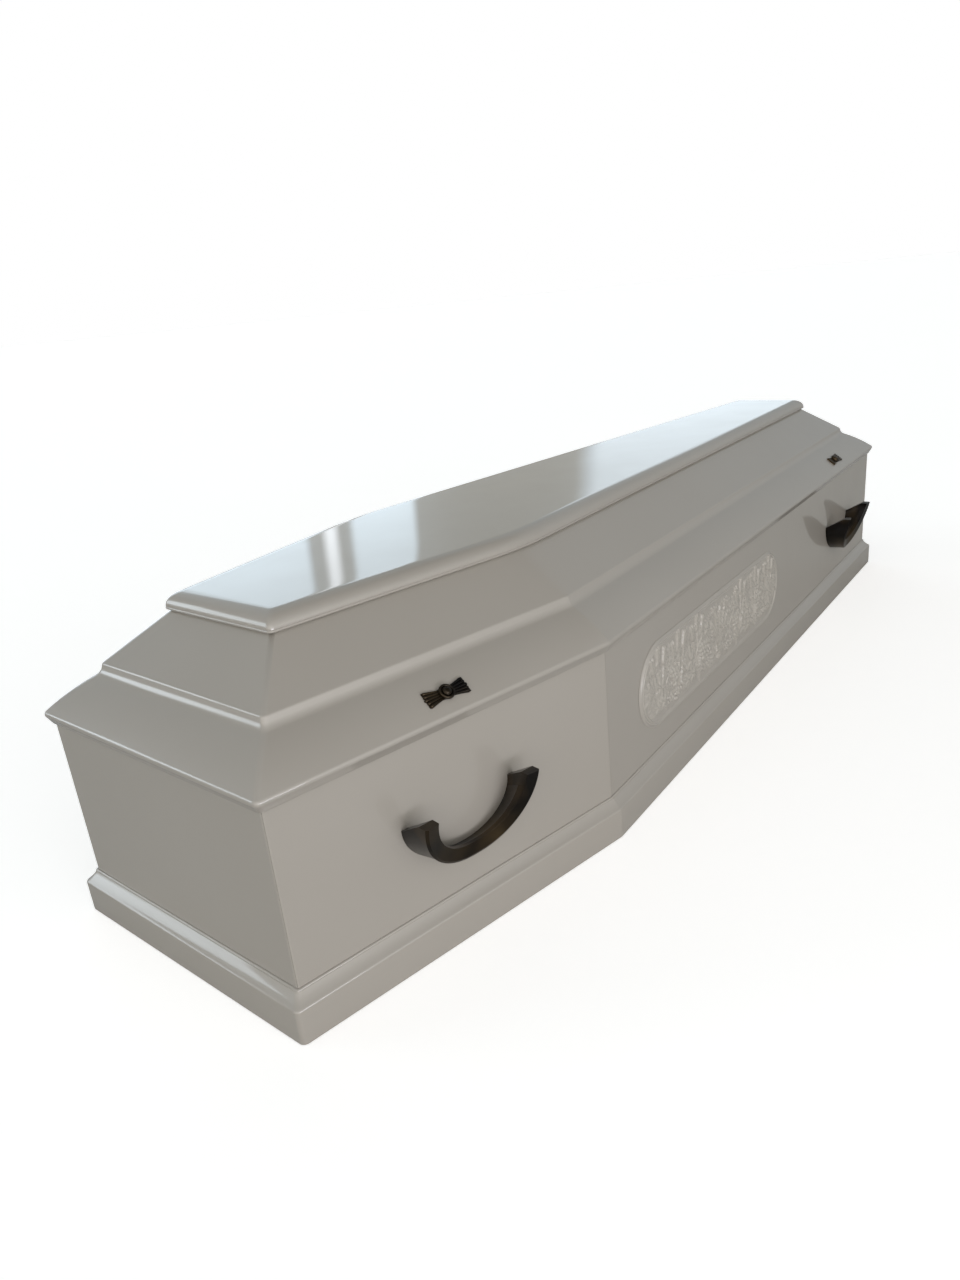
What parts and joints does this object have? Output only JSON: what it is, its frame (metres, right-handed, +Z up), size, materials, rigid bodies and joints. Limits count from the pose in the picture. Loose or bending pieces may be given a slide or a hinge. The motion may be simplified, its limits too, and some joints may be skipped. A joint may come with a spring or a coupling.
{
  "type": "carved coffin",
  "caption": "Six-sided lacquered coffin with a moulded plinth, a lift-off hip lid with a flat crown, carved oval side panels, bronze handles and lid screws.",
  "frame": {"origin": "on the floor under the centre of the coffin's overall box", "axes": "+X along the coffin from the head end to the foot end, +Z up, the right-hand long side faces -Y"},
  "size_m": [1.9824, 0.651, 0.446],
  "materials": {
    "lacquer": "gloss",
    "carving": "satin",
    "bronze": "antique"
  },
  "bodies": {
    "root": {"box_bottom_board": "lacquer", "box_board_head": "lacquer", "plinth_head": "lacquer", "lid_moulding_head": "lacquer", "box_board_right_head": "lacquer", "plinth_right_head": "lacquer", "lid_moulding_right_head": "lacquer", "box_board_right_foot": "lacquer", "plinth_right_foot": "lacquer", "lid_moulding_right_foot": "lacquer", "box_board_foot": "lacquer", "plinth_foot": "lacquer", "lid_moulding_foot": "lacquer", "box_board_left_foot": "lacquer", "plinth_left_foot": "lacquer", "lid_moulding_left_foot": "lacquer", "box_board_left_head": "lacquer", "plinth_left_head": "lacquer", "lid_moulding_left_head": "lacquer", "lid_slope_head": "lacquer", "lid_slope_foot": "lacquer", "lid_slope_right": "lacquer", "lid_slope_left": "lacquer", "lid_crown_board": "lacquer", "relief_panel_right": "carving", "relief_panel_left": "carving", "handle_right_head": "bronze", "screw_plate_right_head": "bronze", "screw_knob_right_head": "bronze", "handle_right_foot": "bronze", "screw_plate_right_foot": "bronze", "screw_knob_right_foot": "bronze", "handle_left_foot": "bronze", "screw_plate_left_foot": "bronze", "screw_knob_left_foot": "bronze", "handle_left_head": "bronze", "screw_plate_left_head": "bronze", "screw_knob_left_head": "bronze"}
  },
  "joints": []
}
